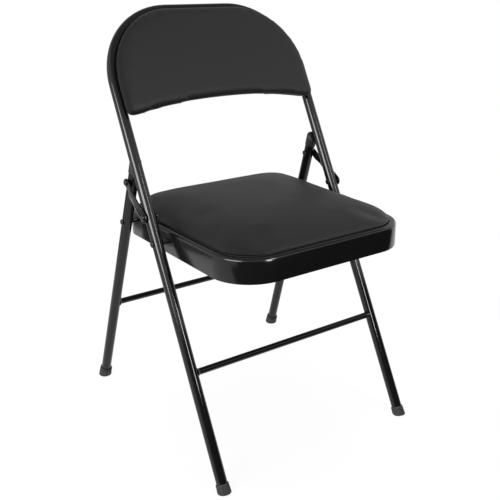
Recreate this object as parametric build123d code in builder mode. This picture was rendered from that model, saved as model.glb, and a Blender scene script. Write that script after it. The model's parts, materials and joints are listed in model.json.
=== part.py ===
"""Flat-folding steel chair with a padded seat and a padded back.

The chair stands on the floor plane z = 0, faces -Y and is symmetric about x = 0.
All sizes are millimetres and degrees.
"""

import os
from math import cos, radians, sin, sqrt, tan

from build123d import *

# Tubes and bars
tube_d = 20.0
tube_wall = 1.2
crossbar_d = 12.0
crossbar_wall = 1.2
weld_gap = 0.05

# Front frame: one tube bent into a tall loop that leans backwards
frame_half_width = 208.5
frame_length = 874.0
loop_radius = 140.0
frame_lean = 29.35
foot_depth = 461.0
foot_shift = 0.25
front_crossbar_height = 181.5

# Rear legs: straight tubes that lean forwards and spread towards the floor
rear_leg_lean = 17.3
rear_leg_splay = 2.77
rear_crossbar_height = 198.0

# Pivots: distances along the frame tube, heights on the rear leg
seat_pivot_along = 442.4
brace_pivot_along = 490.9
leg_seat_pivot_height = 390.2
leg_brace_pivot_height = 473.9

# Foot caps and leg top caps
foot_cap_collar_d = 23.0
foot_cap_taper = 3.2
front_foot_cap_length = 16.5
rear_foot_cap_length = 22.5
foot_cap_sole = 3.0
foot_cap_edge = 1.6
top_cap_d = 22.0
top_cap_length = 27.0
top_cap_dome = 5.0
top_cap_roof = 14.0
top_cap_drop = 10.5
cap_fit = 0.1
stop_gap = 0.3

# Seat pan: pressed steel with a rounded shoulder, a rim, a recess and a hem
seat_tilt = 3.0
seat_side_gap = 10.0
pan_front = 224.0
pan_rear = 183.0
pan_height = 42.5
pan_below_pivot = 22.5
pan_wall = 1.5
pan_shoulder = 6.0
pan_front_corner = 76.0
pan_rear_corner = 48.0
least_corner = 20.0
rim_width = 12.0
recess_depth = 6.0
ledge_width = 28.0
hem_width = 6.0

# Seat board and cushion
board_gap = 1.0
seat_board_thickness = 6.0
cushion_gap = 1.5
cushion_draw_in = 3.0
cushion_edge_share = 0.2
cushion_steps = 5
cushion_fullness = 2.3
seat_cushion_height = 28.0
seat_cushion_crown = 50.0
seat_cushion_wedge = 2.8
seat_cushion_dome = 5.0
seat_cushion_dome_inset = 108.0

# Back board and cushion, in front of the loop
back_inset = 5.0
back_low = 667.5
back_arch = 21.6
back_low_corner = 12.0
back_board_thickness = 5.0
back_tab_thickness = 2.0
back_tab_reach = 25.0
back_tab_width = 18.0
back_cushion_height = 17.0
back_cushion_crown = 18.0

# Rivets, bushes, washers and screws
pivot_d = 7.0
pivot_clearance = 0.1
fixed_clearance = 0.05
face_gap = 0.3
rivet_head_d = 12.0
rivet_head_height = 3.2
rivet_tail_d = 11.0
rivet_tail_height = 1.8
bush_d = 9.5
stud_d = 10.0
stud_shank_d = 6.0
stud_gap = 1.0
washer_d = 13.0
washer_thickness = 1.2
screw_d = 4.0
screw_head_d = 8.0
screw_head_height = 2.6
screw_clearance = 0.15
screw_grip = 4.0
back_screw_along = 702.0
back_screw_top_half = 55.0
back_screw_reach = 17.0
seat_screw_inset = 70.0

# Brace straps
brace_thickness = 2.5
brace_top_radius = 7.5
brace_low_radius = 10.0
brace_joggle_start = 15.0
brace_joggle_end = 27.0

SIDES = {"left": -1, "right": 1}

# Places worked out from the driving sizes
tube_r = tube_d / 2
lean = radians(frame_lean)
leg_lean = radians(rear_leg_lean)
leg_splay = radians(rear_leg_splay)
tilt = radians(seat_tilt)
front_foot_y = foot_shift - foot_depth / 2
rear_foot_y = foot_shift + foot_depth / 2
rear_foot_half_width = frame_half_width + leg_seat_pivot_height * tan(leg_splay)
pan_half_width = frame_half_width - tube_r - seat_side_gap
pan_top = pan_height - pan_below_pivot
deck_top = pan_top - recess_depth
frame_plane = Plane(origin=(0, front_foot_y, 0), x_dir=(1, 0, 0), z_dir=(0, -cos(lean), sin(lean)))


def frame_point(x, along, forward=0.0):
    """A point given in the plane of the front frame."""
    return frame_plane.from_local_coords(Vector(x, along, forward))


def leg_point(side, height):
    """The point of a rear leg's axis at a height above the floor."""
    x = side * (rear_foot_half_width - height * tan(leg_splay))
    return Vector(x, rear_foot_y - height * tan(leg_lean), height)


def leg_axis(side):
    """The direction of a rear leg, from the floor upwards."""
    return (leg_point(side, 1.0) - leg_point(side, 0.0)).normalized()


frame_axis = frame_plane.y_dir
seat_pivot = frame_point(0, seat_pivot_along)
brace_pivot = frame_point(0, brace_pivot_along)
leg_seat_pivot = leg_point(1, leg_seat_pivot_height)
leg_brace_pivot = leg_point(1, leg_brace_pivot_height)
seat_plane = Plane(origin=seat_pivot, x_dir=(1, 0, 0), z_dir=(0, sin(tilt), cos(tilt)))

# The rear leg's top cap ends short of the point where the two axes cross
axes_cross_height = foot_depth / (tan(lean) + tan(leg_lean))
leg_top_height = axes_cross_height - top_cap_drop * cos(leg_lean)

os.makedirs("parts", exist_ok=True)


def finish(name, builder):
    """Label a finished piece and write it."""
    builder.part.label = name
    export_step(builder.part, f"parts/{name}.step")


def axle_places(pivot, x):
    """Places on a pivot's axle, at one distance to the left and to the right."""
    return [Plane(origin=(side * x, pivot.Y, pivot.Z), z_dir=(side, 0, 0)) for side in SIDES.values()]


def tube_lift(axis):
    """Distance along a leg's axis from the floor to the tube's end, above the cap's sole."""
    slope = radians(axis.get_angle(Vector(0, 0, 1)))
    return (foot_cap_sole + tube_r * sin(slope)) / cos(slope)


def tube_section():
    """The ring section of the large tubes, drawn in the sketch at hand."""
    Circle(tube_r)
    Circle(tube_r - tube_wall, mode=Mode.SUBTRACT)


# Front frame tube: two legs, two bends and the top
with BuildPart() as frame_tube:
    tube_start = tube_lift(frame_axis)
    bend_along = frame_length - loop_radius
    bend_x = frame_half_width - loop_radius
    for side in SIDES.values():
        with BuildSketch(Plane(origin=frame_point(side * frame_half_width, tube_start), z_dir=frame_axis)):
            tube_section()
        extrude(amount=bend_along - tube_start)
        with BuildSketch(Plane(origin=frame_point(side * frame_half_width, bend_along), z_dir=frame_axis)):
            tube_section()
        revolve(axis=Axis(frame_point(side * bend_x, bend_along), frame_plane.z_dir * side), revolution_arc=90)
    with BuildSketch(Plane(origin=frame_point(-bend_x, frame_length), z_dir=(1, 0, 0))):
        tube_section()
    extrude(amount=2 * bend_x)
    for pivot in (seat_pivot, brace_pivot):
        with Locations(*axle_places(pivot, frame_half_width)):
            Cylinder(pivot_d / 2 + fixed_clearance, 2 * tube_d, mode=Mode.SUBTRACT)
finish("frame_tube", frame_tube)


def make_crossbar(name, end, tube_axes):
    """A thin round bar between two tubes, cut to the tubes' round sides."""
    with BuildPart() as crossbar:
        with Locations(Plane(origin=(0, end.Y, end.Z), z_dir=(1, 0, 0))):
            Cylinder(crossbar_d / 2, 2 * end.X)
            Cylinder(crossbar_d / 2 - crossbar_wall, 2 * end.X, mode=Mode.SUBTRACT)
        for side in SIDES.values():
            with Locations(Plane(origin=(side * end.X, end.Y, end.Z), z_dir=tube_axes[side])):
                Cylinder(tube_r + weld_gap, 4 * crossbar_d, mode=Mode.SUBTRACT)
    finish(name, crossbar)


front_bar_end = frame_point(frame_half_width, front_crossbar_height / cos(lean))
make_crossbar("front_crossbar", front_bar_end, {-1: frame_axis, 1: frame_axis})
rear_bar_end = leg_point(1, rear_crossbar_height)
make_crossbar("rear_crossbar", rear_bar_end, {-1: leg_axis(-1), 1: leg_axis(1)})


def make_foot_cap(name, foot, axis, length):
    """A moulded cap, wider towards its sole, cut level with the floor, with a socket for the tube."""
    with BuildPart() as cap:
        with BuildSketch(Plane(origin=foot + axis * length, z_dir=axis)):
            Circle(foot_cap_collar_d / 2)
        extrude(amount=-2 * length, taper=-foot_cap_taper)
        split(bisect_by=Plane.XY, keep=Keep.TOP)
        fillet(cap.faces().sort_by(Axis.Z)[0].edges(), foot_cap_edge)
        with BuildSketch(Plane(origin=foot + axis * tube_lift(axis), z_dir=axis)):
            Circle(tube_r + cap_fit)
        extrude(amount=length, mode=Mode.SUBTRACT)
    finish(name, cap)


for side_name, side in SIDES.items():
    front_foot = frame_point(side * frame_half_width, 0)
    make_foot_cap(f"front_foot_cap_{side_name}", front_foot, frame_axis, front_foot_cap_length)
    make_foot_cap(f"rear_foot_cap_{side_name}", leg_point(side, 0), leg_axis(side), rear_foot_cap_length)

# Rear legs and the caps on their upper ends, cut flat to bear on the frame tube
for side_name, side in SIDES.items():
    axis = leg_axis(side)
    foot = leg_point(side, 0)
    leg_start = foot + axis * tube_lift(axis)
    cap_top = leg_point(side, leg_top_height)
    leg_end = cap_top - axis * top_cap_roof
    with BuildPart() as rear_leg:
        with BuildSketch(Plane(origin=leg_start, z_dir=axis)):
            tube_section()
        extrude(amount=(leg_end - leg_start).length)
        for pivot in (leg_seat_pivot, leg_brace_pivot):
            with Locations(Plane(origin=(side * pivot.X, pivot.Y, pivot.Z), z_dir=(1, 0, 0))):
                Cylinder(pivot_d / 2 + fixed_clearance, 2 * tube_d, mode=Mode.SUBTRACT)
    finish(f"rear_leg_{side_name}", rear_leg)

    with BuildPart() as top_cap:
        with BuildSketch(Plane(origin=cap_top - axis * top_cap_length, z_dir=axis)):
            Circle(top_cap_d / 2)
        extrude(amount=top_cap_length)
        fillet(top_cap.edges().group_by(Axis(foot, axis))[-1], top_cap_dome)
        with BuildSketch(Plane(origin=leg_end, z_dir=axis)):
            Circle(tube_r + cap_fit)
        extrude(amount=-top_cap_length, mode=Mode.SUBTRACT)
        split(bisect_by=Plane(origin=frame_point(0, 0, -tube_r - stop_gap), z_dir=-frame_plane.z_dir))
    finish(f"rear_leg_cap_{side_name}", top_cap)


def seat_outline(inset, corner_inset=None):
    """The seat's plan, drawn in by an inset, with the pivot at the origin."""
    corner_inset = inset if corner_inset is None else corner_inset
    half = pan_half_width - inset
    front = inset - pan_front
    rear = pan_rear - inset
    front_r = max(pan_front_corner - corner_inset, least_corner)
    rear_r = max(pan_rear_corner - corner_inset, least_corner)
    with BuildSketch(Plane.XY) as outline:
        with BuildLine(Plane.XY):
            Line((front_r - half, front), (half - front_r, front))
            RadiusArc((half - front_r, front), (half, front + front_r), -front_r)
            Line((half, front + front_r), (half, rear - rear_r))
            RadiusArc((half, rear - rear_r), (half - rear_r, rear), -rear_r)
            Line((half - rear_r, rear), (rear_r - half, rear))
            RadiusArc((rear_r - half, rear), (-half, rear - rear_r), -rear_r)
            Line((-half, rear - rear_r), (-half, front + front_r))
            RadiusArc((-half, front + front_r), (front_r - half, front), -front_r)
        make_face()
    return outline.sketch


seat_screw_places = [
    (side * (pan_half_width - seat_screw_inset / 2), y)
    for side in SIDES.values()
    for y in (seat_screw_inset - pan_front, pan_rear - seat_screw_inset)
]
seat_up = Axis(seat_plane.origin, seat_plane.z_dir)

# Seat pan
with BuildPart() as seat_pan:
    with BuildSketch(seat_plane.offset(-pan_below_pivot)):
        add(seat_outline(0))
    extrude(amount=pan_height)
    fillet(seat_pan.edges().group_by(seat_up)[-1], pan_shoulder)
    with BuildSketch(seat_plane.offset(-pan_below_pivot)):
        add(seat_outline(hem_width))
    extrude(amount=pan_wall, mode=Mode.SUBTRACT)
    with BuildSketch(seat_plane.offset(pan_wall - pan_below_pivot)):
        add(seat_outline(pan_wall))
    extrude(amount=pan_height - recess_depth - 2 * pan_wall, mode=Mode.SUBTRACT)
    with BuildSketch(seat_plane.offset(deck_top - pan_wall)):
        add(seat_outline(pan_shoulder - pan_wall))
        add(seat_outline(rim_width - pan_wall), mode=Mode.SUBTRACT)
    extrude(amount=recess_depth, mode=Mode.SUBTRACT)
    with BuildSketch(seat_plane.offset(deck_top)):
        add(seat_outline(rim_width))
    extrude(amount=recess_depth, mode=Mode.SUBTRACT)
    with BuildSketch(seat_plane.offset(deck_top)):
        add(seat_outline(rim_width + ledge_width))
        with Locations(*seat_screw_places):
            Circle(screw_d / 2 + screw_clearance)
    extrude(amount=-2 * pan_wall, mode=Mode.SUBTRACT)
    with Locations(*axle_places(seat_pivot, pan_half_width)):
        Cylinder(pivot_d / 2 + pivot_clearance, 4 * pan_wall, mode=Mode.SUBTRACT)
    with Locations(*axle_places(leg_seat_pivot, pan_half_width)):
        Cylinder(stud_shank_d / 2 + fixed_clearance, 4 * pan_wall, mode=Mode.SUBTRACT)
finish("seat_pan", seat_pan)

# Seat board, let into the recess
with BuildPart() as seat_board:
    with BuildSketch(seat_plane.offset(deck_top)):
        add(seat_outline(rim_width + board_gap))
    extrude(amount=seat_board_thickness)
    with BuildSketch(seat_plane.offset(deck_top)):
        with Locations(*seat_screw_places):
            Circle(screw_d / 2 + screw_clearance)
    extrude(amount=screw_grip, mode=Mode.SUBTRACT)
finish("seat_board", seat_board)


def cushion_profile(crown):
    """Heights and insets of a cushion's sections: drawn in below, full at the edge, crowned above."""
    profile = [(0.0, cushion_draw_in)]
    for step in range(cushion_steps + 1):
        turn = 90 * step / cushion_steps
        rise = sin(radians(turn)) ** (2 / cushion_fullness)
        reach = sin(radians(90 - turn)) ** (2 / cushion_fullness)
        profile.append((cushion_edge_share + (1 - cushion_edge_share) * rise, crown * (1 - reach)))
    return profile


# Seat cushion, deeper at the back, with a low dome
cushion_base = deck_top + seat_board_thickness
cushion_inset = rim_width + cushion_gap
seat_profile = cushion_profile(seat_cushion_crown)
seat_profile.append((1 + seat_cushion_dome / seat_cushion_height, seat_cushion_dome_inset))
with BuildPart() as seat_cushion:
    for share, inset in seat_profile:
        section_plane = seat_plane.offset(cushion_base + share * seat_cushion_height)
        with BuildSketch(section_plane.rotated((share * seat_cushion_wedge, 0, 0))):
            add(seat_outline(cushion_inset + inset, cushion_inset))
    loft(ruled=True)
finish("seat_cushion", seat_cushion)


def back_outline(inset):
    """The back pad's outline in the frame's plane: the loop above, a shallow arch below."""
    half = frame_half_width - back_inset - inset
    top = frame_length - back_inset - inset
    low = back_low + inset
    corner = loop_radius - back_inset - inset
    low_r = back_low_corner
    bow = (half**2 + back_arch**2) / (2 * back_arch)
    bow_y = low + back_arch - bow
    side_y = bow_y + sqrt((bow + low_r) ** 2 - (half - low_r) ** 2)
    arch_x = (half - low_r) * bow / (bow + low_r)
    arch_y = bow_y + (side_y - bow_y) * bow / (bow + low_r)
    with BuildSketch(Plane.XY) as outline:
        with BuildLine(Plane.XY):
            Line((-half, side_y), (-half, top - corner))
            RadiusArc((-half, top - corner), (corner - half, top), corner)
            Line((corner - half, top), (half - corner, top))
            RadiusArc((half - corner, top), (half, top - corner), corner)
            Line((half, top - corner), (half, side_y))
            RadiusArc((half, side_y), (arch_x, arch_y), low_r)
            ThreePointArc((arch_x, arch_y), (0, low + back_arch), (-arch_x, arch_y))
            RadiusArc((-arch_x, arch_y), (-half, side_y), low_r)
        make_face()
    return outline.sketch


back_screw_places = [
    (side * x, along)
    for side in SIDES.values()
    for x, along in (
        (frame_half_width - back_screw_reach, back_screw_along),
        (back_screw_top_half, frame_length - back_screw_reach),
    )
]
board_seat = sqrt(tube_r**2 - back_inset**2) + weld_gap
tab_back = board_seat - weld_gap - back_tab_thickness

# Tabs on the inside of the loop, which the back board is screwed to
with BuildPart() as back_tabs:
    with BuildSketch(frame_plane.offset(tab_back)):
        for side in SIDES.values():
            with Locations((side * (frame_half_width - back_tab_reach / 2), back_screw_along)):
                Rectangle(back_tab_reach, back_tab_width)
            with Locations((side * back_screw_top_half, frame_length - back_tab_reach / 2)):
                Rectangle(back_tab_width, back_tab_reach)
        with Locations(*back_screw_places):
            Circle(screw_d / 2 + screw_clearance, mode=Mode.SUBTRACT)
    extrude(amount=back_tab_thickness)
    for side in SIDES.values():
        tube_centre = frame_point(side * frame_half_width, back_screw_along)
        with Locations(Plane(origin=tube_centre, z_dir=frame_axis)):
            Cylinder(tube_r + weld_gap, 2 * back_tab_width, mode=Mode.SUBTRACT)
    with Locations(Plane(origin=frame_point(0, frame_length), z_dir=(1, 0, 0))):
        Cylinder(tube_r + weld_gap, 4 * back_screw_top_half, mode=Mode.SUBTRACT)
finish("back_tabs", back_tabs)

# Back board, its edge on the front of the loop
with BuildPart() as back_board:
    with BuildSketch(frame_plane.offset(board_seat)):
        add(back_outline(0))
    extrude(amount=back_board_thickness)
    with BuildSketch(frame_plane.offset(board_seat)):
        with Locations(*back_screw_places):
            Circle(screw_d / 2 + screw_clearance)
    extrude(amount=screw_grip, mode=Mode.SUBTRACT)
finish("back_board", back_board)

# Back cushion
back_base = board_seat + back_board_thickness
with BuildPart() as back_cushion:
    for share, inset in cushion_profile(back_cushion_crown):
        with BuildSketch(frame_plane.offset(back_base + share * back_cushion_height)):
            add(back_outline(inset))
    loft(ruled=True)
finish("back_cushion", back_cushion)


def make_screws(name, plane, places, grip_start, grip_end):
    """Pan-head screws that point along a plane's normal, one solid each."""
    with BuildPart() as screws:
        with BuildSketch(plane.offset(grip_start)):
            with Locations(*places):
                Circle(screw_head_d / 2)
        extrude(amount=-screw_head_height)
        chamfer(screws.edges().group_by(Axis(plane.origin, plane.z_dir))[0], screw_head_height / 2)
        with BuildSketch(plane.offset(grip_start)):
            with Locations(*places):
                Circle(screw_d / 2)
        extrude(amount=grip_end - grip_start)
    finish(name, screws)


back_grip_end = board_seat + screw_grip - screw_clearance
make_screws("back_screws", frame_plane, back_screw_places, tab_back, back_grip_end)
seat_grip_end = deck_top + screw_grip - screw_clearance
make_screws("seat_screws", seat_plane, seat_screw_places, deck_top - pan_wall, seat_grip_end)


def make_rivets(name, pivot, tail_x, tail_d, head_x):
    """A pair of rivets on one axle: a flat tail, a shank and a domed outer head."""
    shank_r = pivot_d / 2
    head_r = rivet_head_d / 2
    dome_r = (head_r**2 + rivet_head_height**2) / (2 * rivet_head_height)
    with BuildPart() as rivets:
        for side in SIDES.values():
            axle = Plane(origin=(0, pivot.Y, pivot.Z), x_dir=(side, 0, 0), z_dir=(0, -side, 0))
            with BuildSketch(axle):
                with BuildLine():
                    Polyline(
                        (head_x + rivet_head_height, 0),
                        (tail_x, 0),
                        (tail_x, shank_r),
                        (head_x, shank_r),
                        (head_x, head_r),
                    )
                    RadiusArc((head_x, head_r), (head_x + rivet_head_height, 0), dome_r)
                make_face()
            revolve(axis=Axis((0, pivot.Y, pivot.Z), (1, 0, 0)))
        for place in axle_places(pivot, tail_x):
            with BuildSketch(place):
                Circle(tail_d / 2)
            extrude(amount=rivet_tail_height)
    finish(name, rivets)


# Pivots: rivets fixed in one piece, with the other pieces free to turn on them
frame_outer_x = frame_half_width + tube_r
frame_inner_x = frame_half_width - tube_r
leg_outer_x = leg_brace_pivot.X + tube_r
leg_inner_x = leg_brace_pivot.X - tube_r
low_washer_x = frame_outer_x + weld_gap
top_washer_x = leg_outer_x + washer_d / 2 * tan(leg_splay) + weld_gap
brace_low_x = low_washer_x + washer_thickness + face_gap
brace_top_x = top_washer_x + washer_thickness + face_gap
make_rivets(
    "seat_pivot_rivets",
    seat_pivot,
    pan_half_width - pan_wall - face_gap - rivet_tail_height,
    rivet_tail_d,
    frame_outer_x + weld_gap,
)
make_rivets(
    "brace_pivot_rivets",
    brace_pivot,
    frame_inner_x - weld_gap - rivet_tail_height,
    rivet_tail_d,
    brace_low_x + brace_thickness + face_gap,
)
make_rivets(
    "brace_top_rivets",
    leg_brace_pivot,
    leg_inner_x - face_gap - rivet_tail_height,
    rivet_tail_d,
    brace_top_x + brace_thickness + face_gap,
)
make_rivets(
    "leg_pivot_rivets",
    leg_seat_pivot,
    leg_seat_pivot.X - tube_r,
    pivot_d,
    leg_seat_pivot.X + tube_r + face_gap,
)

# Bushes that hold the seat clear of the frame
with BuildPart() as seat_pivot_bushes:
    for place in axle_places(seat_pivot, pan_half_width):
        with BuildSketch(place):
            Circle(bush_d / 2)
            Circle(pivot_d / 2 + pivot_clearance, mode=Mode.SUBTRACT)
        extrude(amount=seat_side_gap - face_gap)
finish("seat_pivot_bushes", seat_pivot_bushes)

# Studs on the seat that run against the inner sides of the rear legs
with BuildPart() as leg_pivot_studs:
    for place in axle_places(leg_seat_pivot, pan_half_width):
        with BuildSketch(place):
            Circle(stud_d / 2)
        extrude(amount=leg_seat_pivot.X - tube_r - pan_half_width - stud_gap)
        with BuildSketch(place):
            Circle(stud_shank_d / 2)
        extrude(amount=-pan_wall)
finish("leg_pivot_studs", leg_pivot_studs)

# Brace straps, joggled outwards from the rear leg to the wider frame
brace_low = Vector(0, brace_pivot.Y, brace_pivot.Z)
brace_top = Vector(0, leg_brace_pivot.Y, leg_brace_pivot.Z)
brace_length = (brace_low - brace_top).length
brace_dir = (brace_low - brace_top).normalized()
brace_end = brace_length + 2 * brace_low_radius
for side_name, side in SIDES.items():
    outward = Vector(side, 0, 0)
    with BuildPart() as brace:
        with BuildSketch(Plane(origin=brace_top + outward * brace_top_x, x_dir=brace_dir, z_dir=outward)):
            Circle(brace_top_radius)
            with Locations((brace_length, 0)):
                Circle(brace_low_radius)
            make_hull()
        extrude(amount=brace_low_x + brace_thickness - brace_top_x)
        with BuildSketch(Plane(origin=brace_top, x_dir=brace_dir, z_dir=brace_dir.cross(outward))):
            Polygon(
                (-2 * brace_top_radius, brace_top_x),
                (brace_joggle_start, brace_top_x),
                (brace_joggle_end, brace_low_x),
                (brace_end, brace_low_x),
                (brace_end, brace_low_x + brace_thickness),
                (brace_joggle_end, brace_low_x + brace_thickness),
                (brace_joggle_start, brace_top_x + brace_thickness),
                (-2 * brace_top_radius, brace_top_x + brace_thickness),
                align=None,
            )
        extrude(amount=2 * brace_low_radius, both=True, mode=Mode.INTERSECT)
        with BuildSketch(Plane(origin=brace_top, x_dir=brace_dir, z_dir=outward)):
            with Locations((0, 0), (brace_length, 0)):
                Circle(pivot_d / 2 + pivot_clearance)
        extrude(amount=brace_low_x + 2 * brace_thickness, mode=Mode.SUBTRACT)
    finish(f"brace_{side_name}", brace)


def make_washers(name, pivot, x):
    """A pair of flat washers on one axle, from a distance outwards."""
    with BuildPart() as washers:
        for place in axle_places(pivot, x):
            with BuildSketch(place):
                Circle(washer_d / 2)
                Circle(pivot_d / 2 + fixed_clearance, mode=Mode.SUBTRACT)
            extrude(amount=washer_thickness)
    finish(name, washers)


make_washers("brace_pivot_washers", brace_pivot, low_washer_x)
make_washers("brace_top_washers", leg_brace_pivot, top_washer_x)
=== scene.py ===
"""Folding chair: the visible pieces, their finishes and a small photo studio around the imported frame."""

import json
from math import atan2, copysign, cos, pi, radians, sin, sqrt, tan

import bpy
from mathutils import Matrix, Vector


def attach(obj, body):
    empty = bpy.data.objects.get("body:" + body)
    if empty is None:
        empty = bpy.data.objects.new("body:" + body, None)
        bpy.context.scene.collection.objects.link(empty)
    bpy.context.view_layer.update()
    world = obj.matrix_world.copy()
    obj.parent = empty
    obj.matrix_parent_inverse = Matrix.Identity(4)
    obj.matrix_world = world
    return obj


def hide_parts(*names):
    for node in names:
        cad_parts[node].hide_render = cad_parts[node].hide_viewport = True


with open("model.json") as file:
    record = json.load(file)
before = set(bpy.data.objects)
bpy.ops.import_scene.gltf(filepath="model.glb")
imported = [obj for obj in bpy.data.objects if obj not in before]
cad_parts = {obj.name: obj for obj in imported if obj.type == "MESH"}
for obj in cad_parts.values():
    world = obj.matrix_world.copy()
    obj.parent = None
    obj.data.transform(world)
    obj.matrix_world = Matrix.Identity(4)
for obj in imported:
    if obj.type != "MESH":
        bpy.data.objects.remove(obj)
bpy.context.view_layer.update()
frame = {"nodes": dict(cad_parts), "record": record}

# Sizes in metres and angles in radians, as the CAD model has them
TUBE_R = 0.010
CROSSBAR_R = 0.006
FRAME_HALF_WIDTH = 0.2085
FRAME_LENGTH = 0.874
LOOP_RADIUS = 0.140
FRAME_LEAN = radians(29.35)
FRONT_FOOT_Y = -0.23025
FRONT_CROSSBAR_HEIGHT = 0.1815
SEAT_PIVOT_ALONG = 0.4424
BRACE_PIVOT_ALONG = 0.4909
LEG_LEAN = radians(17.3)
LEG_SPLAY = radians(2.77)
REAR_FOOT_Y = 0.23075
REAR_CROSSBAR_HEIGHT = 0.198
LEG_SEAT_PIVOT_HEIGHT = 0.3902
LEG_BRACE_PIVOT_HEIGHT = 0.4739
FOOT_COLLAR_R = 0.0115
FOOT_TAPER = radians(3.2)
FOOT_SOLE = 0.003
TOE_ANGLE = radians(16.0)
FRONT_FOOT_LENGTH = 0.0165
REAR_FOOT_LENGTH = 0.0225
TOP_CAP_R = 0.011
TOP_CAP_LENGTH = 0.027
TOP_CAP_DOME = 0.005
TOP_CAP_ROOF = 0.014
TOP_CAP_DROP = 0.0105
STOP_GAP = 0.0003
SEAT_TILT = radians(3.0)
SEAT_SIDE_GAP = 0.010
PAN_HALF_WIDTH = FRAME_HALF_WIDTH - TUBE_R - SEAT_SIDE_GAP
PAN_FRONT = 0.224
PAN_REAR = 0.183
PAN_TOP = 0.020
PAN_BELOW_PIVOT = 0.0225
PAN_WALL = 0.0015
PAN_SHOULDER = 0.006
PAN_FRONT_CORNER = 0.076
PAN_REAR_CORNER = 0.048
RIM_WIDTH = 0.012
RECESS_DEPTH = 0.006
LEDGE_WIDTH = 0.028
HEM_WIDTH = 0.006
RIVET_SHANK_R = 0.0035
RIVET_HEAD_R = 0.006
RIVET_TAIL = 0.0018
BACK_INSET = 0.005
BACK_TAB_WALL = 0.002
BACK_SCREW_ALONG = 0.702
BACK_SCREW_TOP_X = 0.055
BACK_SCREW_REACH = 0.017
SEAT_SCREW_INSET = 0.070
BACK_BOARD = 0.005
BACK_MIDDLE = 0.7685
SIDES = {"left": -1, "right": 1}

# Sizes that only the visible pieces have: first what all of them share
MERGE_DISTANCE = 0.00001
FACE_TOLERANCE = 0.0002
CLEARANCE = 0.00005
TUBE_SEGMENTS = 48
SMALL_SEGMENTS = 32
SCREW_SEGMENTS = 24
SMOOTH_ANGLE = radians(38)

# Tubes and crossbars; the bead is a list of distances from the bar's end and radii there
LOOP_STEPS = 20
CROSSBAR_SINK = 0.0072
WELD_BEAD = (
    (0.0, 0.0088),
    (0.0013, 0.0086),
    (0.0026, 0.0078),
    (0.0039, 0.0068),
    (0.0050, 0.0062),
    (0.0060, CROSSBAR_R),
)

# Foot caps and top caps
REAR_COLLAR_R = FOOT_COLLAR_R + 0.0008
FOOT_START = -0.015
FOOT_GROOVE_DOWN = 0.0038
FOOT_GROOVE_HALF = 0.0007
FOOT_GROOVE_FLOOR_HALF = 0.0003
FOOT_GROOVE_DEPTH = 0.0006
FOOT_FLUTES = 12
FLUTE_EDGE = 0.0003
FLUTE_DEPTH = 0.0005
FOOT_LIP = 0.0010
FOOT_LIP_EDGE = 0.0003
FOOT_MOUTH_R = TUBE_R + 0.0003
FOOT_MOUTH_INNER_R = TUBE_R + 0.0001
FOOT_MOUTH_DEPTH = 0.0020
SOLE_FACING = -0.85
SOLE_EASE = 0.0014
TOP_CAP_SKIRT = 0.0006
TOP_CAP_SKIRT_R = TOP_CAP_R - 0.0007
TOP_CAP_DOME_STEPS = 6
TOP_CAP_EASE = 0.0006

# Pan: width and rise of each step of the pressing, from the shoulder inwards
PAN_SMOOTH_ANGLE = radians(32)
PAN_SHOULDER_STEPS = 6
PAN_STEPS = (
    (RIM_WIDTH - PAN_SHOULDER - 0.0012, 0.0),
    (0.0007, -0.0002),
    (0.0004, -0.0006),
    (0.0001, 0.0008 - RECESS_DEPTH),
    (LEDGE_WIDTH - 0.0022, 0.0),
    (0.0016, -0.0008),
    (0.0006, -0.0032),
)

# Rivets, washers, bushes and studs
RIVET_TAIL_R = 0.0055
RIVET_EDGE = 0.0004
RIVET_HEAD_EDGE = 0.0003
RIVET_DOME = 0.0027
RIVET_DOME_LIFT = 0.0005
RIVET_DOME_DEGREES = (0, 12, 24, 36, 48, 60, 72)
RIVET_DIMPLE = ((0.0031, 0.0013), (0.0028, 0.0009))
SEAT_RIVET_TAIL = 0.0036
LOW_RIVET_TAIL = 0.00185
TOP_RIVET_TAIL = 0.0021
LEG_RIVET_LIFT = 0.0003
STRAP_LIFT = 0.0015
STRAP_WALL = 0.0028
WASHER_R = 0.0065
WASHER_WALL = 0.0012
WASHER_EDGE = 0.0003
BUSH_R = 0.00475
BUSH_END_R = 0.0043
BUSH_EDGE = 0.0004
BUSH_GAP = 0.0003
STUD_R = 0.0050
STUD_EDGE = 0.0005
STUD_GAP = 0.001
STUD_NECK_R = 0.0030
STUD_NECK_END_R = 0.0028

# Screws: distance along the screw and radius there, from the tip to the bottom of the driving recess
SCREW_OUTLINE = (
    (-0.0100, 0.0018),
    (-0.0090, 0.0020),
    (0.0, 0.0020),
    (0.0, 0.0039),
    (0.0004, 0.0040),
    (0.0013, 0.0040),
    (0.0019, 0.0037),
    (0.0023, 0.0031),
    (0.0026, 0.0020),
    (0.0026, 0.0015),
    (0.0014, 0.0012),
)

# Seat pad, measured from the top of the pan
SEAT_PAD_HALF_WIDTH = 0.176
SEAT_PAD_HALF_LENGTH = 0.190
SEAT_PAD_SHIFT = 0.0205
SEAT_PAD_HEIGHT = 0.020
SEAT_PAD_CROWN = 0.008
SEAT_PAD_REAR_DROP = 0.005
SEAT_PAD_DROP_START = 0.4
SEAT_PAD_SPREAD = 0.008
SEAT_PAD_SPREAD_HEIGHT = 0.016
SEAT_PAD_HELD = 0.0025

# Back pad: how far each outline lies in front of the frame's plane, and its size against the CAD cushion
BACK_PAD_STEPS = ((0.0090, 0.992), (0.0106, 1.027), (0.0126, 1.037), (0.0205, 1.037))
BACK_PAD_ROUND = 0.005
BACK_PAD_ROUND_STEPS = 5
BACK_PAD_REST = 0.0072
BACK_PAD_HELD = 0.004
BACK_BOARD_SHARE = 0.955

# Cloth that covers both pads
CLOTH_STEPS = 20
CLOTH_BENDING = 10.0


def frame_point(x, along, forward=0.0):
    """A point in the leaning plane of the front frame."""
    y = FRONT_FOOT_Y + along * sin(FRAME_LEAN) - forward * cos(FRAME_LEAN)
    return Vector((x, y, along * cos(FRAME_LEAN) + forward * sin(FRAME_LEAN)))


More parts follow.
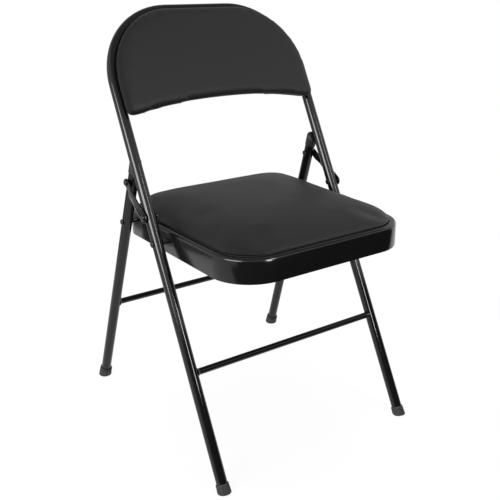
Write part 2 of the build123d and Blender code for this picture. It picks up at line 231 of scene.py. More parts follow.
def leg_point(side, height):
    """The point of a rear leg's axis at a height above the floor."""
    foot_x = FRAME_HALF_WIDTH + LEG_SEAT_PIVOT_HEIGHT * tan(LEG_SPLAY)
    x = side * (foot_x - height * tan(LEG_SPLAY))
    return Vector((x, REAR_FOOT_Y - height * tan(LEG_LEAN), height))


def leg_axis(side):
    """The direction of a rear leg, from the floor upwards."""
    return (leg_point(side, 1.0) - leg_point(side, 0.0)).normalized()


def seat_point(x, y, z):
    """A point on the tilted seat, measured from the seat's pivot."""
    return seat_pivot + Vector((x, 0, 0)) + seat_back * y + seat_up * z


frame_axis = Vector((0, sin(FRAME_LEAN), cos(FRAME_LEAN)))
frame_front = Vector((0, -cos(FRAME_LEAN), sin(FRAME_LEAN)))
seat_up = Vector((0, sin(SEAT_TILT), cos(SEAT_TILT)))
seat_back = Vector((0, cos(SEAT_TILT), -sin(SEAT_TILT)))
seat_pivot = frame_point(0, SEAT_PIVOT_ALONG)
brace_pivot = frame_point(0, BRACE_PIVOT_ALONG)
leg_seat_pivot = leg_point(1, LEG_SEAT_PIVOT_HEIGHT)
leg_brace_pivot = leg_point(1, LEG_BRACE_PIVOT_HEIGHT)
axes_cross_height = (REAR_FOOT_Y - FRONT_FOOT_Y) / (tan(FRAME_LEAN) + tan(LEG_LEAN))
leg_top_height = axes_cross_height - TOP_CAP_DROP * cos(LEG_LEAN)
board_seat = sqrt(TUBE_R**2 - BACK_INSET**2)
seat_rest = seat_point(0, 0, PAN_TOP)
back_rest = frame_point(0, BACK_MIDDLE, board_seat + BACK_BOARD)
back_face = frame_point(0, BACK_MIDDLE, BACK_PAD_REST)


# Shared surface effects


def new_group(name, inputs, outputs):
    """A shader node group with named inputs and outputs; returns it with its two end nodes."""
    group = bpy.data.node_groups.new(name, "ShaderNodeTree")
    for socket_name, kind, value in inputs:
        socket = group.interface.new_socket(socket_name, in_out="INPUT", socket_type=kind)
        socket.default_value = value
    for socket_name, kind in outputs:
        group.interface.new_socket(socket_name, in_out="OUTPUT", socket_type=kind)
    start = group.nodes.new("NodeGroupInput")
    end = group.nodes.new("NodeGroupOutput")
    return group, start, end


def add_node(tree, kind, settings=None, **inputs):
    """A node with its settings and its unlinked inputs set."""
    node = tree.nodes.new(kind)
    for key, value in (settings or {}).items():
        setattr(node, key, value)
    for key, value in inputs.items():
        node.inputs[key.replace("_", " ")].default_value = value
    return node


def math_node(tree, operation, first, second):
    """A math node; each operand is a number or an output socket."""
    node = add_node(tree, "ShaderNodeMath", {"operation": operation})
    for slot, value in enumerate((first, second)):
        if isinstance(value, (int, float)):
            node.inputs[slot].default_value = value
        else:
            tree.links.new(value, node.inputs[slot])
    return node.outputs[0]


def make_orange_peel():
    """The faint waviness of sprayed paint, with specks of dust and rubbed, duller patches."""
    group, start, end = new_group(
        "orange_peel",
        [
            ("Peel Size", "NodeSocketFloat", 900.0),
            ("Roughness", "NodeSocketFloat", 0.2),
            ("Rub", "NodeSocketFloat", 0.08),
        ],
        [("Height", "NodeSocketFloat"), ("Roughness", "NodeSocketFloat"), ("Dust", "NodeSocketFloat")],
    )
    place = add_node(group, "ShaderNodeTexCoord").outputs["Object"]
    peel = add_node(group, "ShaderNodeTexNoise", Detail=1.5, Roughness=0.4)
    group.links.new(place, peel.inputs["Vector"])
    group.links.new(start.outputs["Peel Size"], peel.inputs["Scale"])
    group.links.new(peel.outputs["Fac"], end.inputs["Height"])
    smear = add_node(group, "ShaderNodeTexNoise", Scale=14.0, Detail=5.0, Roughness=0.62)
    group.links.new(place, smear.inputs["Vector"])
    rub = math_node(group, "MULTIPLY", smear.outputs["Fac"], start.outputs["Rub"])
    group.links.new(math_node(group, "ADD", rub, start.outputs["Roughness"]), end.inputs["Roughness"])
    specks = add_node(group, "ShaderNodeTexNoise", Scale=420.0, Detail=2.0, Roughness=0.7)
    group.links.new(place, specks.inputs["Vector"])
    dust = add_node(group, "ShaderNodeMapRange", From_Min=0.70, From_Max=0.86)
    group.links.new(specks.outputs["Fac"], dust.inputs["Value"])
    group.links.new(dust.outputs["Result"], end.inputs["Dust"])
    return group


def make_vinyl_grain():
    """Embossed grain: small rounded cells with fine creases between them."""
    group, start, end = new_group(
        "vinyl_grain",
        [("Cell Size", "NodeSocketFloat", 700.0), ("Stretch", "NodeSocketFloat", 0.35)],
        [("Height", "NodeSocketFloat"), ("Wear", "NodeSocketFloat")],
    )
    place = add_node(group, "ShaderNodeTexCoord").outputs["Object"]
    wander = add_node(group, "ShaderNodeTexNoise", Scale=160.0, Detail=2.0)
    group.links.new(place, wander.inputs["Vector"])
    shift = add_node(group, "ShaderNodeVectorMath", {"operation": "SCALE"})
    group.links.new(wander.outputs["Color"], shift.inputs[0])
    shift.inputs["Scale"].default_value = 0.004
    moved = add_node(group, "ShaderNodeVectorMath", {"operation": "ADD"})
    group.links.new(place, moved.inputs[0])
    group.links.new(shift.outputs[0], moved.inputs[1])
    cells = add_node(group, "ShaderNodeTexVoronoi", {"feature": "DISTANCE_TO_EDGE"})
    group.links.new(moved.outputs[0], cells.inputs["Vector"])
    group.links.new(start.outputs["Cell Size"], cells.inputs["Scale"])
    crease = add_node(group, "ShaderNodeMapRange", From_Min=0.0, From_Max=0.22, To_Min=1.0, To_Max=0.0)
    group.links.new(cells.outputs["Distance"], crease.inputs["Value"])
    pebble = add_node(group, "ShaderNodeTexNoise", Scale=1500.0, Detail=2.0)
    group.links.new(place, pebble.inputs["Vector"])
    fine = math_node(group, "MULTIPLY", pebble.outputs["Fac"], start.outputs["Stretch"])
    group.links.new(math_node(group, "SUBTRACT", fine, crease.outputs["Result"]), end.inputs["Height"])
    wear = add_node(group, "ShaderNodeTexNoise", Scale=9.0, Detail=4.0, Roughness=0.6)
    group.links.new(place, wear.inputs["Vector"])
    group.links.new(wear.outputs["Fac"], end.inputs["Wear"])
    return group


def make_moulded_skin():
    """The fine spark texture and slight flow marks of moulded rubber and plastic."""
    group, start, end = new_group(
        "moulded_skin",
        [("Grain Size", "NodeSocketFloat", 1800.0), ("Roughness", "NodeSocketFloat", 0.6)],
        [("Height", "NodeSocketFloat"), ("Roughness", "NodeSocketFloat"), ("Bloom", "NodeSocketFloat")],
    )
    place = add_node(group, "ShaderNodeTexCoord").outputs["Object"]
    grain = add_node(group, "ShaderNodeTexNoise", Detail=3.0, Roughness=0.6)
    group.links.new(place, grain.inputs["Vector"])
    group.links.new(start.outputs["Grain Size"], grain.inputs["Scale"])
    group.links.new(grain.outputs["Fac"], end.inputs["Height"])
    bloom = add_node(group, "ShaderNodeTexNoise", Scale=60.0, Detail=4.0, Roughness=0.65)
    group.links.new(place, bloom.inputs["Vector"])
    group.links.new(bloom.outputs["Fac"], end.inputs["Bloom"])
    uneven = math_node(group, "MULTIPLY", bloom.outputs["Fac"], 0.18)
    group.links.new(math_node(group, "ADD", uneven, start.outputs["Roughness"]), end.inputs["Roughness"])
    return group


orange_peel = make_orange_peel()
vinyl_grain = make_vinyl_grain()
moulded_skin = make_moulded_skin()


# Finishes


def new_material(name):
    """An empty material with a Principled shader; returns the material, its tree and the shader."""
    material = bpy.data.materials.new(name)
    material.use_nodes = True
    tree = material.node_tree
    return material, tree, tree.nodes["Principled BSDF"]


def place_group(tree, group, **inputs):
    """A shared effect placed in a material with its own values."""
    node = tree.nodes.new("ShaderNodeGroup")
    node.node_tree = group
    for key, value in inputs.items():
        node.inputs[key.replace("_", " ")].default_value = value
    return node


def mix_colours(tree, mask, low, high):
    """A colour that goes from low to high with a mask."""
    mix = add_node(tree, "ShaderNodeMix", {"data_type": "RGBA"})
    mix.inputs["A"].default_value = (*low, 1.0)
    mix.inputs["B"].default_value = (*high, 1.0)
    tree.links.new(mask, mix.inputs["Factor"])
    return mix.outputs["Result"]


def add_bump(tree, shader, height, strength, distance):
    """Fine relief on a shader's normal."""
    bump = add_node(tree, "ShaderNodeBump", Strength=strength, Distance=distance)
    tree.links.new(height, bump.inputs["Height"])
    tree.links.new(bump.outputs["Normal"], shader.inputs["Normal"])


def make_gloss_paint(name, colour, dusty, roughness, gloss):
    """Sprayed gloss paint on steel, slightly wavy, with a trace of dust."""
    material, tree, shader = new_material(name)
    effect = place_group(tree, orange_peel, Peel_Size=380.0, Roughness=roughness)
    tree.links.new(mix_colours(tree, effect.outputs["Dust"], colour, dusty), shader.inputs["Base Color"])
    tree.links.new(effect.outputs["Roughness"], shader.inputs["Roughness"])
    shader.inputs["Specular IOR Level"].default_value = gloss
    add_bump(tree, shader, effect.outputs["Height"], strength=0.1, distance=0.00001)
    return material


def make_vinyl(name, low, high):
    """Soft black vinyl with an embossed grain and a satin sheen."""
    material, tree, shader = new_material(name)
    effect = place_group(tree, vinyl_grain)
    tree.links.new(mix_colours(tree, effect.outputs["Wear"], low, high), shader.inputs["Base Color"])
    rough = add_node(tree, "ShaderNodeMapRange", From_Min=0.3, From_Max=0.7, To_Min=0.44, To_Max=0.54)
    tree.links.new(effect.outputs["Wear"], rough.inputs["Value"])
    tree.links.new(rough.outputs["Result"], shader.inputs["Roughness"])
    shader.inputs["Specular IOR Level"].default_value = 0.3
    add_bump(tree, shader, effect.outputs["Height"], strength=0.22, distance=0.0002)
    return material


def make_moulded(name, low, high, roughness):
    """Moulded rubber or plastic."""
    material, tree, shader = new_material(name)
    effect = place_group(tree, moulded_skin, Roughness=roughness)
    tree.links.new(mix_colours(tree, effect.outputs["Bloom"], low, high), shader.inputs["Base Color"])
    tree.links.new(effect.outputs["Roughness"], shader.inputs["Roughness"])
    add_bump(tree, shader, effect.outputs["Height"], strength=0.3, distance=0.0001)
    return material


def make_hardboard(name):
    """Dark pressed board with short fibres."""
    material, tree, shader = new_material(name)
    place = add_node(tree, "ShaderNodeTexCoord").outputs["Object"]
    fibres = add_node(tree, "ShaderNodeTexNoise", Scale=240.0, Detail=8.0, Roughness=0.75, Distortion=1.5)
    tree.links.new(place, fibres.inputs["Vector"])
    colour = mix_colours(tree, fibres.outputs["Fac"], (0.006, 0.006, 0.006), (0.016, 0.015, 0.014))
    tree.links.new(colour, shader.inputs["Base Color"])
    shader.inputs["Roughness"].default_value = 0.72
    add_bump(tree, shader, fibres.outputs["Fac"], strength=0.3, distance=0.0002)
    return material


PAINT_BLACK = (0.005, 0.005, 0.0052)
PAINT_DUSTY = (0.014, 0.014, 0.014)
finishes = {
    "black_paint": make_gloss_paint("black_paint", PAINT_BLACK, PAINT_DUSTY, roughness=0.08, gloss=0.34),
    "pan_paint": make_gloss_paint("pan_paint", PAINT_BLACK, PAINT_DUSTY, roughness=0.12, gloss=0.34),
    "black_vinyl": make_vinyl("black_vinyl", (0.009, 0.009, 0.0095), (0.013, 0.013, 0.0135)),
    "board": make_hardboard("board"),
    "foot_rubber": make_moulded(
        "foot_rubber", (0.010, 0.010, 0.0105), (0.020, 0.020, 0.0205), roughness=0.5
    ),
    "cap_plastic": make_moulded(
        "cap_plastic", (0.008, 0.008, 0.009), (0.014, 0.014, 0.015), roughness=0.32
    ),
    "rivet_steel": make_gloss_paint(
        "rivet_steel", (0.006, 0.006, 0.0065), (0.03, 0.03, 0.03), roughness=0.2, gloss=0.4
    ),
}
slot_of = {row["node"]: row["material_slot"] for row in frame["record"]["subparts"]}
for node_name, node in frame["nodes"].items():
    node.data.materials.clear()
    node.data.materials.append(finishes[slot_of[node_name]])


# Modelling by hand


def open_piece(name):
    """A new empty piece, open in edit mode."""
    bpy.ops.object.select_all(action="DESELECT")
    bpy.ops.object.add(type="MESH", location=(0.0, 0.0, 0.0))
    piece = bpy.context.object
    piece.name = name
    piece.data.name = name
    bpy.ops.object.mode_set(mode="EDIT")
    return piece


def select_places(piece, test):
    """Selects the points of the open piece whose places pass a test, and what lies between them."""
    bpy.ops.mesh.select_mode(type="VERT")
    bpy.ops.mesh.select_all(action="DESELECT")
    bpy.ops.object.mode_set(mode="OBJECT")
    for vertex in piece.data.vertices:
        vertex.select = test(vertex.co)
    bpy.ops.object.mode_set(mode="EDIT")


def select_faces(piece, test):
    """Selects the faces of the open piece that pass a test."""
    bpy.ops.mesh.select_mode(type="FACE")
    bpy.ops.mesh.select_all(action="DESELECT")
    bpy.ops.object.mode_set(mode="OBJECT")
    for face in piece.data.polygons:
        face.select = test(face)
    bpy.ops.object.mode_set(mode="EDIT")


def draw_ring(place, axis, radius, segments, fill):
    """A circle square to an axis, added to the open piece."""
    bpy.ops.mesh.primitive_circle_add(
        vertices=segments,
        radius=radius,
        fill_type=fill,
        location=place,
        rotation=axis.to_track_quat("Z", "Y").to_euler(),
    )


def pull(move):
    """Extrudes what is selected."""
    bpy.ops.mesh.extrude_region_move(TRANSFORM_OT_translate={"value": move})


def turn(start, axis, stations, segments):
    """Adds a turned shape to the open piece: a disc drawn out along an axis, ring by ring."""
    along, radius = stations[0]
    draw_ring(start + axis * along, axis, radius, segments, "NGON")
    for next_along, next_radius in stations[1:]:
        pull(axis * (next_along - along))
        share = next_radius / radius
        bpy.ops.transform.resize(value=(share, share, share), center_override=start + axis * next_along)
        along, radius = next_along, next_radius


def hand_over(piece, finish, slot, body, *nodes):
    """Paints a piece and puts it in the place of its CAD nodes."""
    piece.data.materials.clear()
    piece.data.materials.append(finishes[finish])
    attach(piece, body)
    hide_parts(*nodes)


def close_piece(piece, finish, body, *nodes):
    """Turns the faces of the open piece outwards, shades it and hands it over."""
    bpy.ops.mesh.select_all(action="SELECT")
    bpy.ops.mesh.normals_make_consistent(inside=False)
    bpy.ops.object.mode_set(mode="OBJECT")
    bpy.ops.object.shade_smooth_by_angle(angle=SMOOTH_ANGLE)
    hand_over(piece, finish, finish, body, *nodes)


def apply_modifier(piece, kind, name, **settings):
    """Adds a modifier with its settings and applies it."""
    bpy.ops.object.modifier_add(type=kind)
    for key, value in settings.items():
        setattr(piece.modifiers[name], key, value)
    bpy.ops.object.modifier_apply(modifier=name)


def ease_edges(piece, width, segments, degrees):
    """Rounds the edges of a piece that are sharper than an angle."""
    limit = radians(degrees)
    apply_modifier(
        piece, "BEVEL", "Bevel", width=width, segments=segments, limit_method="ANGLE", angle_limit=limit
    )


def round_over(radius, steps):
    """Insets the selected faces along a quarter circle, as a rounded edge."""
    turns = [radians(90 * step / steps) for step in range(steps + 1)]
    for low, high in zip(turns, turns[1:]):
        bpy.ops.mesh.inset(thickness=radius * (cos(low) - cos(high)), depth=radius * (sin(high) - sin(low)))


# Tubes and bars


def tube_lift(slope):
    """Distance along a leg from the floor to the tube's end, above the sole of its foot."""
    return (FOOT_SOLE + TUBE_R * sin(slope)) / cos(slope)


def bend_frame_tube():
    """One long tube, up the left leg, over the back and down the right leg."""
    start = tube_lift(FRAME_LEAN)
    bend_along = FRAME_LENGTH - LOOP_RADIUS
    bend_x = FRAME_HALF_WIDTH - LOOP_RADIUS
    straight = frame_axis * (bend_along - start)
    tube = open_piece("bent_frame_tube")
    draw_ring(frame_point(-FRAME_HALF_WIDTH, start), frame_axis, TUBE_R, TUBE_SEGMENTS, "NOTHING")
    pull(straight)
    left_centre, right_centre = frame_point(-bend_x, bend_along), frame_point(bend_x, bend_along)
    bpy.ops.mesh.spin(steps=LOOP_STEPS, angle=pi / 2, center=left_centre, axis=frame_front)
    pull((2 * bend_x, 0.0, 0.0))
    bpy.ops.mesh.spin(steps=LOOP_STEPS, angle=pi / 2, center=right_centre, axis=frame_front)
    pull(-straight)
    bpy.ops.mesh.select_all(action="SELECT")
    bpy.ops.mesh.remove_doubles(threshold=MERGE_DISTANCE)
    bpy.ops.mesh.fill_holes(sides=0)
    close_piece(tube, "black_paint", "front_frame", "frame_tube")


def cut_rear_leg(side_name, side):
    """A straight rear leg, from its foot to its top cap."""
    axis = leg_axis(side)
    leg = open_piece(f"rear_leg_tube_{side_name}")
    low = tube_lift(axis.angle(Vector((0, 0, 1))))
    high = leg_top_height / axis.z - TOP_CAP_ROOF
    turn(leg_point(side, 0), axis, [(low, TUBE_R), (high, TUBE_R)], TUBE_SEGMENTS)
    close_piece(leg, "black_paint", "rear_legs", f"rear_leg_{side_name}")


def weld_crossbar(name, end, body, node):
    """A thin bar between two tubes, with a bead of weld at each end."""
    reach = end.x - CROSSBAR_SINK
    far_bead = [(2 * reach - along, radius) for along, radius in reversed(WELD_BEAD)]
    stations = [*WELD_BEAD, *far_bead]
    bar = open_piece(name)
    turn(Vector((-reach, end.y, end.z)), Vector((1, 0, 0)), stations, SMALL_SEGMENTS)
    close_piece(bar, "black_paint", body, node)


def mould_foot(name, foot, axis, length, collar, toe, body, node):
    """A foot cap, wider towards its sole, with a groove below its collar, flutes and an eased toe."""

    def radius(along):
        return collar + (length - along) * tan(FOOT_TAPER)

    cap = open_piece(name)
    groove = length - FOOT_GROOVE_DOWN
    groove_low, groove_high = groove - FOOT_GROOVE_HALF, groove + FOOT_GROOVE_HALF
    groove_r = radius(groove) - FOOT_GROOVE_DEPTH
    lip = length - FOOT_LIP
    stations = [
        (FOOT_START, radius(FOOT_START)),
        (groove_low, radius(groove_low)),
        (groove - FOOT_GROOVE_FLOOR_HALF, groove_r),
        (groove + FOOT_GROOVE_FLOOR_HALF, groove_r),
        (groove_high, radius(groove_high)),
        (lip, radius(lip)),
        (length - FOOT_LIP_EDGE, collar - FOOT_LIP_EDGE),
        (length, collar - 3 * FOOT_LIP_EDGE),
        (length, FOOT_MOUTH_R),
        (length - FOOT_MOUTH_DEPTH, FOOT_MOUTH_INNER_R),
    ]
    turn(foot, axis, stations, TUBE_SEGMENTS)
    turned = axis.to_track_quat("Z", "Y").inverted()

    def in_flute(face):
        place = turned @ (face.center - foot)
        facet = int((atan2(place.y, place.x) / (2 * pi) + 1) * TUBE_SEGMENTS)
        on_side = place.z < groove_low and place.xy.length > TUBE_R / 2
        return on_side and facet % (TUBE_SEGMENTS // FOOT_FLUTES) == 0

    select_faces(cap, in_flute)
    bpy.ops.mesh.inset(thickness=FLUTE_EDGE, depth=-FLUTE_DEPTH, use_individual=True)
    bpy.ops.mesh.select_all(action="SELECT")
    bpy.ops.mesh.bisect(plane_co=(0, 0, 0), plane_no=(0, 0, 1), use_fill=True, clear_inner=True)
    bpy.ops.mesh.select_all(action="SELECT")
    toe_rise = Vector((0, toe * sin(TOE_ANGLE), cos(TOE_ANGLE)))
    bpy.ops.mesh.bisect(plane_co=(0, foot.y, 0), plane_no=toe_rise, use_fill=True, clear_inner=True)
    select_faces(cap, lambda face: face.normal.z < SOLE_FACING)
    bpy.ops.mesh.region_to_loop()
    bpy.ops.mesh.bevel(offset=SOLE_EASE, segments=3, affect="EDGES")
    close_piece(cap, "foot_rubber", body, node)


def mould_top_cap(side_name, side):
    """The cap on a rear leg's upper end, cut flat where it bears on the frame tube."""
    axis = leg_axis(side)
    top = leg_top_height / axis.z
    low = top - TOP_CAP_LENGTH
    cap = open_piece(f"leg_top_cap_{side_name}")
    stations = [(low, TOP_CAP_SKIRT_R), (low + TOP_CAP_SKIRT, TOP_CAP_R)]
    for step in range(TOP_CAP_DOME_STEPS + 1):
        angle = radians(90 * step / TOP_CAP_DOME_STEPS)
        along = top - TOP_CAP_DOME * (1 - sin(angle))
        stations.append((along, TOP_CAP_R - TOP_CAP_DOME * (1 - cos(angle))))
    turn(leg_point(side, 0), axis, stations, TUBE_SEGMENTS)
    bpy.ops.mesh.select_all(action="SELECT")
    bearing = frame_point(0, 0, -TUBE_R - STOP_GAP)
    bpy.ops.mesh.bisect(plane_co=bearing, plane_no=-frame_front, use_fill=True, clear_inner=True)
    select_places(cap, lambda place: abs((place - bearing).dot(frame_front)) < MERGE_DISTANCE)
    bpy.ops.mesh.bevel(offset=TOP_CAP_EASE, segments=2, affect="EDGES")
    close_piece(cap, "cap_plastic", "rear_legs", f"rear_leg_cap_{side_name}")


bend_frame_tube()
for side_name, side in SIDES.items():
    cut_rear_leg(side_name, side)
    mould_top_cap(side_name, side)
    mould_foot(
        f"front_foot_{side_name}",
        foot=frame_point(side * FRAME_HALF_WIDTH, 0),
        axis=frame_axis,
        length=FRONT_FOOT_LENGTH,
        collar=FOOT_COLLAR_R,
        toe=1,
        body="front_frame",
        node=f"front_foot_cap_{side_name}",
    )
    mould_foot(
        f"rear_foot_{side_name}",
        foot=leg_point(side, 0),
        axis=leg_axis(side),
        length=REAR_FOOT_LENGTH,
        collar=REAR_COLLAR_R,
        toe=-1,
        body="rear_legs",
        node=f"rear_foot_cap_{side_name}",
    )
front_bar_end = frame_point(FRAME_HALF_WIDTH, FRONT_CROSSBAR_HEIGHT / cos(FRAME_LEAN))
weld_crossbar("front_stretcher", front_bar_end, "front_frame", "front_crossbar")
weld_crossbar("rear_stretcher", leg_point(1, REAR_CROSSBAR_HEIGHT), "rear_legs", "rear_crossbar")


# Pressed pan and straps


def press_pan():
    """The seat pan: a wall, a round shoulder, a rim, a recess for the board and a turned hem below."""
    middle = (0.0, (PAN_REAR - PAN_FRONT) / 2, -PAN_BELOW_PIVOT)
    pan = open_piece("pressed_pan")
    bpy.ops.mesh.primitive_plane_add(size=1.0, location=middle)
    sides = (2 * PAN_HALF_WIDTH, PAN_FRONT + PAN_REAR, 1.0)
    bpy.ops.transform.resize(value=sides, center_override=middle)
    select_places(pan, lambda place: place.y < 0)
    bpy.ops.mesh.bevel(offset=PAN_FRONT_CORNER, segments=16, profile=0.5, affect="VERTICES")
    select_places(pan, lambda place: place.y > 0)
    bpy.ops.mesh.bevel(offset=PAN_REAR_CORNER, segments=12, profile=0.5, affect="VERTICES")
    bpy.ops.mesh.select_all(action="SELECT")
    pull((0.0, 0.0, PAN_TOP + PAN_BELOW_PIVOT - PAN_SHOULDER))
    bpy.ops.mesh.select_mode(type="FACE")
    round_over(PAN_SHOULDER, PAN_SHOULDER_STEPS)
    for width, rise in PAN_STEPS:
        bpy.ops.mesh.inset(thickness=width, depth=rise)
    bpy.ops.mesh.delete(type="FACE")
    select_places(pan, lambda place: place.z < MERGE_DISTANCE - PAN_BELOW_PIVOT)
    bpy.ops.mesh.select_mode(type="FACE")
    bpy.ops.mesh.inset(thickness=HEM_WIDTH, depth=0.0)
    bpy.ops.mesh.delete(type="FACE")
    bpy.ops.mesh.select_mode(type="VERT")
    bpy.ops.mesh.select_all(action="SELECT")
    bpy.ops.mesh.normals_make_consistent(inside=False)
    bpy.ops.object.mode_set(mode="OBJECT")
    apply_modifier(pan, "SOLIDIFY", "Solidify", thickness=PAN_WALL, offset=-1.0, use_even_offset=True)
    ease_edges(pan, width=0.0009, segments=3, degrees=50)
    pan.rotation_euler = (-SEAT_TILT, 0.0, 0.0)
    pan.location = seat_pivot
    bpy.ops.object.transform_apply(location=True, rotation=True, scale=True)
    bpy.ops.object.shade_smooth_by_angle(angle=PAN_SMOOTH_ANGLE)
    hand_over(pan, "pan_paint", "black_paint", "seat", "seat_pan")


def copy_node(name, node_name):
    """A new piece with a merged copy of a CAD node's mesh, open in edit mode."""
    mesh = frame["nodes"][node_name].data.copy()
    mesh.name = name
    piece = bpy.data.objects.new(name, mesh)
    bpy.context.scene.collection.objects.link(piece)
    bpy.ops.object.select_all(action="DESELECT")
    piece.select_set(True)
    bpy.context.view_layer.objects.active = piece
    bpy.ops.object.mode_set(mode="EDIT")
    bpy.ops.mesh.select_all(action="SELECT")
    bpy.ops.mesh.remove_doubles(threshold=2 * MERGE_DISTANCE)
    return piece


def press_strap(side_name):
    """A joggled strap with the rolled edges of a stamping."""
    strap = copy_node(f"joggled_strap_{side_name}", f"brace_{side_name}")
    bpy.ops.mesh.dissolve_limited(angle_limit=radians(1.5))
    bpy.ops.object.mode_set(mode="OBJECT")
    ease_edges(strap, width=0.0007, segments=3, degrees=60)
    bpy.ops.object.mode_set(mode="EDIT")
    close_piece(strap, "black_paint", f"{side_name}_brace", f"brace_{side_name}")


press_pan()
for side_name in SIDES:
    press_strap(side_name)


# Rivets, bushes, studs, washers and screws


def set_rivets(name, pivot, tail_x, tail_r, head_x, body, node):
    """A pair of rivets on one axle: a flat tail inside and a domed head with a small dimple outside."""
    rivets = open_piece(name)
    shank_x = tail_x + RIVET_TAIL
    for side in SIDES.values():
        stations = [(tail_x, tail_r - RIVET_EDGE), (tail_x + RIVET_EDGE, tail_r), (shank_x, tail_r)]
        stations += [(shank_x, RIVET_SHANK_R), (head_x, RIVET_SHANK_R)]
        stations.append((head_x, RIVET_HEAD_R - RIVET_HEAD_EDGE))
        for degrees in RIVET_DOME_DEGREES:
            angle = radians(degrees)
            dome_x = head_x + RIVET_DOME_LIFT + RIVET_DOME * sin(angle)
            stations.append((dome_x, RIVET_HEAD_R * cos(angle)))
        stations += [(head_x + height, radius) for height, radius in RIVET_DIMPLE]
        turn(Vector((0, pivot.y, pivot.z)), Vector((side, 0, 0)), stations, SMALL_SEGMENTS)
    close_piece(rivets, "rivet_steel", body, node)


def turn_pair(name, pivot, stations, finish, body, node):
    """The same turned piece on the left and on the right of one axle."""
    pair = open_piece(name)
    for side in SIDES.values():
        turn(Vector((0, pivot.y, pivot.z)), Vector((side, 0, 0)), stations, SMALL_SEGMENTS)
    close_piece(pair, finish, body, node)


def flat_washer(x):
    """The outline of a washer whose inner face is at a distance from the middle."""
    near, far = x + WASHER_EDGE, x + WASHER_WALL
    end_r = WASHER_R - WASHER_EDGE
    return [(x, end_r), (near, WASHER_R), (far - WASHER_EDGE, WASHER_R), (far, end_r)]


def drive_screws(name, places, axis, body, node):
    """Pan-head screws, heads along an axis, with a round driving recess."""
    screws = open_piece(name)
    for place in places:
        turn(place, axis, SCREW_OUTLINE, SCREW_SEGMENTS)
    close_piece(screws, "rivet_steel", body, node)


frame_outer_x = FRAME_HALF_WIDTH + TUBE_R
frame_inner_x = FRAME_HALF_WIDTH - TUBE_R
leg_outer_x = leg_brace_pivot.x + TUBE_R
leg_inner_x = leg_brace_pivot.x - TUBE_R
low_washer_x = frame_outer_x + CLEARANCE
top_washer_x = leg_outer_x + WASHER_R * tan(LEG_SPLAY) + CLEARANCE
strap_low_x = low_washer_x + STRAP_LIFT
strap_top_x = top_washer_x + STRAP_LIFT
set_rivets(
    "seat_rivets",
    seat_pivot,
    tail_x=PAN_HALF_WIDTH - SEAT_RIVET_TAIL,
    tail_r=RIVET_TAIL_R,
    head_x=frame_outer_x + CLEARANCE,
    body="front_frame",
    node="seat_pivot_rivets",
)
set_rivets(
    "strap_low_rivets",
    brace_pivot,
    tail_x=frame_inner_x - LOW_RIVET_TAIL,
    tail_r=RIVET_TAIL_R,
    head_x=strap_low_x + STRAP_WALL,
    body="front_frame",
    node="brace_pivot_rivets",
)
set_rivets(
    "strap_top_rivets",
    leg_brace_pivot,
    tail_x=leg_inner_x - TOP_RIVET_TAIL,
    tail_r=RIVET_TAIL_R,
    head_x=strap_top_x + STRAP_WALL,
    body="rear_legs",
    node="brace_top_rivets",
)
set_rivets(
    "leg_rivets",
    leg_seat_pivot,
    tail_x=leg_seat_pivot.x - TUBE_R,
    tail_r=RIVET_SHANK_R,
    head_x=leg_seat_pivot.x + TUBE_R + LEG_RIVET_LIFT,
    body="rear_legs",
    node="leg_pivot_rivets",
)
bush_end = PAN_HALF_WIDTH + SEAT_SIDE_GAP - BUSH_GAP
bush = [(PAN_HALF_WIDTH, BUSH_END_R), (PAN_HALF_WIDTH + BUSH_EDGE, BUSH_R)]
bush += [(bush_end - BUSH_EDGE, BUSH_R), (bush_end, BUSH_END_R)]
turn_pair("seat_bushes", seat_pivot, bush, "cap_plastic", "seat", "seat_pivot_bushes")
stud_end = leg_seat_pivot.x - TUBE_R - STUD_GAP
stud = [(PAN_HALF_WIDTH - PAN_WALL, STUD_NECK_END_R), (PAN_HALF_WIDTH, STUD_NECK_R)]
stud += [(PAN_HALF_WIDTH, STUD_R), (stud_end - STUD_EDGE, STUD_R), (stud_end, STUD_R - STUD_EDGE)]
turn_pair("leg_studs", leg_seat_pivot, stud, "rivet_steel", "seat", "leg_pivot_studs")
low_washer, top_washer = flat_washer(low_washer_x), flat_washer(top_washer_x)
turn_pair("strap_low_washers", brace_pivot, low_washer, "rivet_steel", "front_frame", "brace_pivot_washers")
turn_pair("strap_top_washers", leg_brace_pivot, top_washer, "rivet_steel", "rear_legs", "brace_top_washers")
back_places = [
    frame_point(side * x, along, board_seat - BACK_TAB_WALL)
    for side in SIDES.values()
    for x, along in (
        (FRAME_HALF_WIDTH - BACK_SCREW_REACH, BACK_SCREW_ALONG),
        (BACK_SCREW_TOP_X, FRAME_LENGTH - BACK_SCREW_REACH),
    )
]
drive_screws("back_fixing_screws", back_places, -frame_front, "front_frame", "back_screws")
seat_places = [
    seat_point(side * (PAN_HALF_WIDTH - SEAT_SCREW_INSET / 2), y, PAN_TOP - RECESS_DEPTH - PAN_WALL)
    for side in SIDES.values()
    for y in (SEAT_SCREW_INSET - PAN_FRONT, PAN_REAR - SEAT_SCREW_INSET)
]
drive_screws("seat_fixing_screws", seat_places, -seat_up, "seat", "seat_screws")


# Cushions


